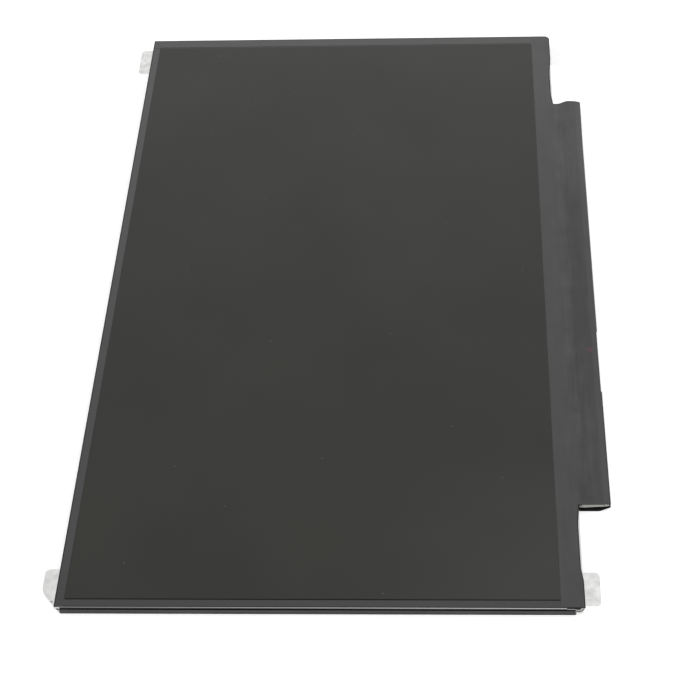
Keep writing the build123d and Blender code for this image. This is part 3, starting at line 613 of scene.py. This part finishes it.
edge_widths = {  # in millimetres
    "bracket_steel": 0.06, "cell_glass": 0.05, "board_laminate": 0.05, "frame_plastic": 0.08}
for name, piece in nodes.items():
    if slot_of[name] in edge_widths:
        bevel = piece.modifiers.new("soft_edge", "BEVEL")
        bevel.width = edge_widths[slot_of[name]] * MM
        bevel.segments = 2
        bevel.limit_method = "ANGLE"
        bevel.angle_limit = math.radians(40)
        bevel.harden_normals = True
print("dressed", len(nodes), "solids")

# %% [markdown]
# ## Thin sheets: the sleeve and two tapes
#
# Film and tape are less than a tenth of a millimetre thick, so what the eye sees of them is their outline.
# Along parts of that outline a narrow dark hem is painted shade: it stands in for the dark line at the edges,
# with a dull finish that mirrors little. The strength of a shader's mirror image is one number for all of its
# surface, so the hem is made in the mesh: the upper faces of a copy are inset, and the ring of new faces that
# this leaves along the outline gets the dull finish. Such a copy stands for its CAD solid, which is then
# hidden.

# %% Helpers for thin sheets
WELD = 0.001 * MM
# Painted shade: a dark, dull finish for the hems along the outlines.
shade_hem = grained("dull_shade_hem_polyester", "#232323", "#2a2a2a", 2, 0.8, gloss=0.1)


def sheet_copy(node):
    """The solid's mesh in a form that can be edited, with its points welded."""
    mesh = bmesh.new()
    mesh.from_mesh(nodes[node].data)
    bmesh.ops.remove_doubles(mesh, verts=mesh.verts[:], dist=WELD)
    return mesh


def hem_ring(mesh, width, beyond):
    """Inset the upper faces beyond a line across Y, and return the ring of faces round them."""
    top = [face for face in mesh.faces if face.normal.z > 0.9 and face.calc_center_median().y > beyond]
    ring = bmesh.ops.inset_region(mesh, faces=top, thickness=width, use_boundary=True, use_even_offset=True)
    return ring["faces"]


def stand_for(node, name, mesh, materials):
    """Make a piece of the edited mesh. It rides on the panel and stands for a CAD node."""
    open_edges = sum(not edge.is_manifold for edge in mesh.edges)
    data = bpy.data.meshes.new(name)
    mesh.to_mesh(data)
    mesh.free()
    for material in materials:
        data.materials.append(material)
    piece = bpy.data.objects.new(name, data)
    bpy.context.scene.collection.objects.link(piece)
    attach(piece, "root")
    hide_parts(node)
    print(name, "has", len(data.polygons), "faces and", open_edges, "open edges")


print("hem finish", shade_hem.name)

# %% [markdown]
# ## Border tapes with a dull outer edge
#
# The tape along the top edge is folded down over the glass, and the one at the far end is cut flush with
# it. Both have their dark hem of painted shade on the outside only.

# %% Hems of the border tapes
TAPE_HEM = 0.35 * MM
OUTER_STRIP = 0.6 * MM
everywhere = -1
# Painted shade: the outer part of each tape's ring gets the dark hem.
for name, node in (("top_tape", "border_tape_top"), ("far_tape", "border_tape_right")):
    mesh = sheet_copy(node)
    for face in hem_ring(mesh, TAPE_HEM, everywhere):
        x, y, _ = face.calc_center_median()
        face.material_index = int(y > frame_high.y - OUTER_STRIP or x > frame_high.x - OUTER_STRIP)
    stand_for(node, name, mesh, (black_tape, shade_hem))

# %% [markdown]
# ## The black sleeve
#
# The film bridges the step from glass to board, hangs free between its glue lines and keeps soft wrinkles
# from folding. A solid from CAD is too clean for that. This copy is sliced into a fine grid, which leaves
# its outline exactly as it was, and its points are then moved up and down by less than a tenth of a
# millimetre. The dark hem of painted shade is left off at the open end by the near ear, and along the long
# fold it is painted only near that end. The fold was made by hand, so it wanders from a straight
# line by a quarter of a millimetre. A cloth simulation would do for a limp sheet, but this film is stiff
# and glued on both sides, so a little noise is enough.

# %% Helpers for the two films
along_x, along_y = Vector((1, 0, 0)), Vector((0, 1, 0))
NEAR_DRIFT, FAR_DRIFT = 0.24 * MM, 0.25 * MM


def slice_at(mesh, axis, place):
    """Cut all faces along one plane across the axis, with nothing removed."""
    bmesh.ops.bisect_plane(mesh, geom=mesh.verts[:] + mesh.edges[:] + mesh.faces[:],
                           plane_co=axis * place, plane_no=axis)


def slice_evenly(mesh, axis, step):
    """Cut the mesh into strips of one width along the axis."""
    places = [vertex.co.dot(axis) for vertex in mesh.verts]
    for i in range(1, int((max(places) - min(places)) / step) + 1):
        slice_at(mesh, axis, min(places) + i * step)


def smooth_step(low, high, value):
    """0 below low, 1 above high and a soft slope between."""
    t = min(max((value - low) / (high - low), 0.0), 1.0)
    return t * t * (3 - 2 * t)


def drift(x, y):
    """How far the fold wanders from a straight line: inwards at the near end, outwards at the far one."""
    inwards = NEAR_DRIFT * (1 - smooth_step(-30 * MM, 75 * MM, x))
    outwards = FAR_DRIFT * smooth_step(66 * MM, 100 * MM, x)
    return (inwards - outwards) * (1 - smooth_step(board_low.y - 1 * MM, board_low.y + 1 * MM, y))


print("the fold wanders by", round(drift(film_low.x, film_low.y) / MM, 2), "mm at the near end")

# %% Slice the film and give it a hem
hem_width = 0.3 * MM
fold = film_low.y + 0.9 * MM
fold_shade_until = -40 * MM
mesh = sheet_copy("front_film")
slice_at(mesh, along_y, fold)
# Painted shade: the ring's faces get the dark hem on the film's ends, but not at the open end or the fold.
for face in hem_ring(mesh, hem_width, fold):
    x, y, _ = face.calc_center_median()
    open_end = x < 0 and y < frame_low.y - 0.3 * MM
    face.material_index = int(fold + 2 * hem_width < y < film_high.y - 2 * hem_width and not open_end)
slice_evenly(mesh, along_x, 2.0 * MM)
slice_evenly(mesh, along_y, 0.6 * MM)
bmesh.ops.remove_doubles(mesh, verts=mesh.verts[:], dist=WELD)
# Painted shade: near the open end the fold's outer edge gets the dark hem too.
for face in mesh.faces:
    x, y, _ = face.calc_center_median()
    if x < fold_shade_until and y < film_low.y + 0.32 * MM:
        face.material_index = 1
print("the film's grid has", len(mesh.faces), "faces")

# %% Wrinkle the film
WRINKLE = 0.07 * MM
for vertex in mesh.verts:
    x, y, z = vertex.co
    free = 1 - smooth_step(frame_low.y - 1 * MM, frame_low.y + 2 * MM, y)
    held = smooth_step(board_low.y, board_low.y + 1.5 * MM, y)
    long_wave = noise.noise((x / (16 * MM), y / (5 * MM), 1.7))
    short_wave = noise.noise((x / (6 * MM), y / (3 * MM), 9.2))
    vertex.co.y = y + drift(x, y)
    vertex.co.z = z + free * held * WRINKLE * (long_wave + 0.5 * short_wave)
stand_for("front_film", "film_sleeve", mesh, (black_film, shade_hem))

# %% [markdown]
# ## The back of the sleeve
#
# A second film closes the sleeve from below. It follows the same wandering fold, or the two would come
# apart there. At the open end it was cut a little longer than the front film, so from above it shows as a
# black lip under the board.

# %% Back film of the sleeve
LIP = 0.3 * MM
mesh = sheet_copy("rear_film")
slice_evenly(mesh, along_x, 2.0 * MM)
open_end = min(vertex.co.x for vertex in mesh.verts)
for vertex in mesh.verts:
    x, y, _ = vertex.co
    if x < open_end + 0.01 * MM:
        vertex.co.x = x - LIP * smooth_step(film_low.y + 0.8 * MM, board_low.y, y)
    vertex.co.y = y + drift(x, y)
stand_for("rear_film", "sleeve_back", mesh, (black_film,))

# %% [markdown]
# ## The foam wedge
#
# A strip of pale foam is stuck under the board's near end and round its outer edge, where it props the
# sleeve open. Foam has no sharp edges, so the wedge is drawn as an outline across the board, pulled to its
# length and rounded all over.

# %% Foam wedge in the open end
END_GAP = 0.02 * MM
pad_low, pad_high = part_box("board_end_pad")
inner, outer = frame_low.y - 0.25 * MM, board_low.y - 0.07 * MM
tip = film_low.y + 0.75 * MM
under_board = board_low.z - 0.02 * MM
outline = [
    (inner, under_board), (outer, under_board), (outer, board_high.z - 0.06 * MM),
    (tip, under_board + 0.45 * MM), (tip, under_board + 0.12 * MM), (outer, under_board - 0.18 * MM),
    (pad_low.y + 2 * MM, under_board - 0.40 * MM), (pad_high.y, pad_low.z + 0.02 * MM),
    (inner, pad_low.z + 0.12 * MM)]
mesh = bmesh.new()
section = mesh.faces.new([mesh.verts.new((pad_low.x + END_GAP, y, z)) for y, z in outline])
pulled = bmesh.ops.extrude_face_region(mesh, geom=[section])["geom"]
far_points = [item for item in pulled if isinstance(item, bmesh.types.BMVert)]
length = pad_high.x - pad_low.x - END_GAP
bmesh.ops.translate(mesh, verts=far_points, vec=(length, 0, 0))
bmesh.ops.recalc_face_normals(mesh, faces=mesh.faces[:])
SOFT_EDGE = 0.05 * MM
bmesh.ops.bevel(mesh, geom=mesh.edges[:], offset=SOFT_EDGE, segments=2, profile=0.5, affect="EDGES")
stand_for("board_end_pad", "foam_wedge", mesh, (finishes["pad_foam"],))

# %% [markdown]
# ## The white table
#
# The photograph is a catalogue picture on white. A wide pale floor gives that look, with light at a plain
# level, where a colour renders about as it is written. The floor adds a little of its own light only for
# rays that go straight to the camera or to a mirror, so it turns white without lighting the panel, and
# keeps the shadow.

# %% White floor
floor_mesh = bpy.data.meshes.new("table")
edge = 3.0
FLOOR_GLOW = 0.48
corners = [(-edge, -edge, 0), (edge, -edge, 0), (edge, edge, 0), (-edge, edge, 0)]
floor_mesh.from_pydata(corners, [], [(0, 1, 2, 3)])
floor = bpy.data.objects.new("table", floor_mesh)
floor.location.z = -0.03 * MM
bpy.context.scene.collection.objects.link(floor)
paper, tree = start_material("white_table")
rays = add(tree, "ShaderNodeLightPath")
straight = add(tree, "ShaderNodeMath", {
    0: rays.outputs["Is Camera Ray"], 1: rays.outputs["Is Glossy Ray"]}, operation="MAXIMUM")
seen = add(tree, "ShaderNodeMath", {
    0: straight.outputs[0], 1: rays.outputs["Is Transmission Ray"]}, operation="MAXIMUM")
lift = add(tree, "ShaderNodeMath", {0: seen.outputs[0], 1: FLOOR_GLOW}, operation="MULTIPLY")
surface = add(tree, "ShaderNodeBsdfDiffuse", {"Color": linear("#dcdcdc")})
glow = add(tree, "ShaderNodeEmission", {"Color": (1, 1, 1, 1), "Strength": lift.outputs[0]})
both = add(tree, "ShaderNodeAddShader", {0: surface.outputs[0], 1: glow.outputs[0]})
add(tree, "ShaderNodeOutputMaterial", {"Surface": both.outputs[0]})
floor_mesh.materials.append(paper)
print("floor", 2 * edge, "m wide")

# %% [markdown]
# ## Sky and softbox
#
# An even sky alone would make the panel look pasted on. This one falls off a little overhead and towards
# +Y, as in a room with a bright wall on the board's side, so the mirrored light changes slowly over the
# screen. One large softbox adds a weak shadow under the edges.

# %% Sky and softbox
world = bpy.data.worlds.new("studio")
bpy.context.scene.world = world
world.use_nodes = True
tree = world.node_tree
tree.nodes.clear()
place = add(tree, "ShaderNodeTexCoord")
axes = add(tree, "ShaderNodeSeparateXYZ", {"Vector": place.outputs["Generated"]})
walls = add(tree, "ShaderNodeMapRange", {
    "Value": axes.outputs["Z"], "From Min": 0.72, "From Max": 0.56, "To Min": 0.95, "To Max": 1.09},
    interpolation_type="SMOOTHSTEP")
level = add(tree, "ShaderNodeMath", {0: axes.outputs["Y"], 1: -0.32, 2: walls.outputs["Result"]},
            operation="MULTIPLY_ADD")
sky = add(tree, "ShaderNodeBackground", {"Color": (1, 1, 1, 1), "Strength": level.outputs[0]})
add(tree, "ShaderNodeOutputWorld", {"Surface": sky.outputs[0]})

softbox_data = bpy.data.lights.new("softbox", "AREA")
softbox_data.shape = "RECTANGLE"
softbox_data.size = 1.6
softbox_data.size_y = 1.2
softbox_data.energy = 1.5
softbox = bpy.data.objects.new("softbox", softbox_data)
softbox.location = (-0.5, -1.1, 1.1)
softbox.rotation_euler = (Vector((0, 0, 0)) - softbox.location).to_track_quat("-Z", "Y").to_euler()
bpy.context.scene.collection.objects.link(softbox)
print("softbox", round(softbox.location.length, 2), "m away")

# %% [markdown]
# ## The camera
#
# The lens and the place come from lining up the panel's straight edges with the photograph. The panel's
# picture sits a little off the optical axis, which a small sensor shift gives. The picture is square, 680
# by 680.

# %% Camera
camera_data = bpy.data.cameras.new("camera")
camera_data.sensor_fit = "HORIZONTAL"
camera_data.sensor_width = 36.0
camera_data.lens = 91.576
camera_data.shift_x = -0.04782
camera_data.shift_y = 0.00069
camera_data.clip_start = 0.01
camera = bpy.data.objects.new("camera", camera_data)
camera.location = (-0.415665, -0.03753, 0.431709)
camera.rotation_euler = Euler([math.radians(a) for a in (42.1617, 2.1302, -88.3919)])
bpy.context.scene.collection.objects.link(camera)
bpy.context.scene.camera = camera
bpy.context.scene.view_settings.view_transform = "Standard"
print("camera", [round(v, 3) for v in camera.location])
